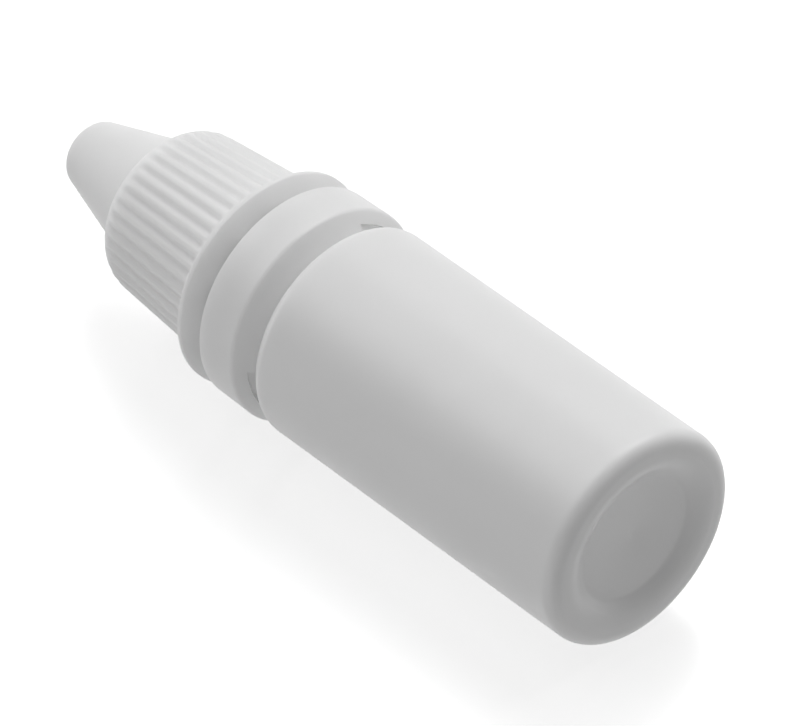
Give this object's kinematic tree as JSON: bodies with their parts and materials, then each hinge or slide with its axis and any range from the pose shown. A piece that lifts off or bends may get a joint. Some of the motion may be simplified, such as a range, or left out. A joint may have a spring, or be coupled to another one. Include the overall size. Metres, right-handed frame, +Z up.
{
  "type": "squeeze dropper bottle",
  "caption": "Round squeeze bottle with a recessed base, a threaded neck holding a dropper nozzle, a fluted screw cap with a blunt cone top, and a loose tamper ring under the cap.",
  "frame": {"origin": "middle of the base, in the plane of the ring-shaped rim that it stands on", "axes": "+Z up along the bottle's axis towards the cap's tip; -Y is the side that faces the picture's camera"},
  "size_m": [0.0224, 0.0224, 0.0768],
  "materials": {
    "bottle_plastic": "satin white polyethylene",
    "insert_plastic": "natural polyethylene",
    "ring_plastic": "satin white polyethylene",
    "cap_plastic": "satin white polyethylene"
  },
  "bodies": {
    "bottle": {"bottle": "bottle_plastic", "dropper_insert": "insert_plastic"},
    "tamper_ring": {"tamper_ring": "ring_plastic"},
    "cap": {"cap": "cap_plastic"}
  },
  "joints": [
    {"name": "cap_turn", "type": "hinge", "parent": "bottle", "child": "tamper_ring", "pos_m": [0, 0, 0.0431], "axis": [0, 0, 1], "range_deg": [0, 630]},
    {"name": "cap_lift", "type": "slide", "parent": "tamper_ring", "child": "cap", "axis": [0, 0, 1], "range_m": [0, 0.00526]}
  ],
  "couplings": [
    {"joint": "cap_lift", "follows": "cap_turn", "m_per_rad": 0.00047746}
  ]
}
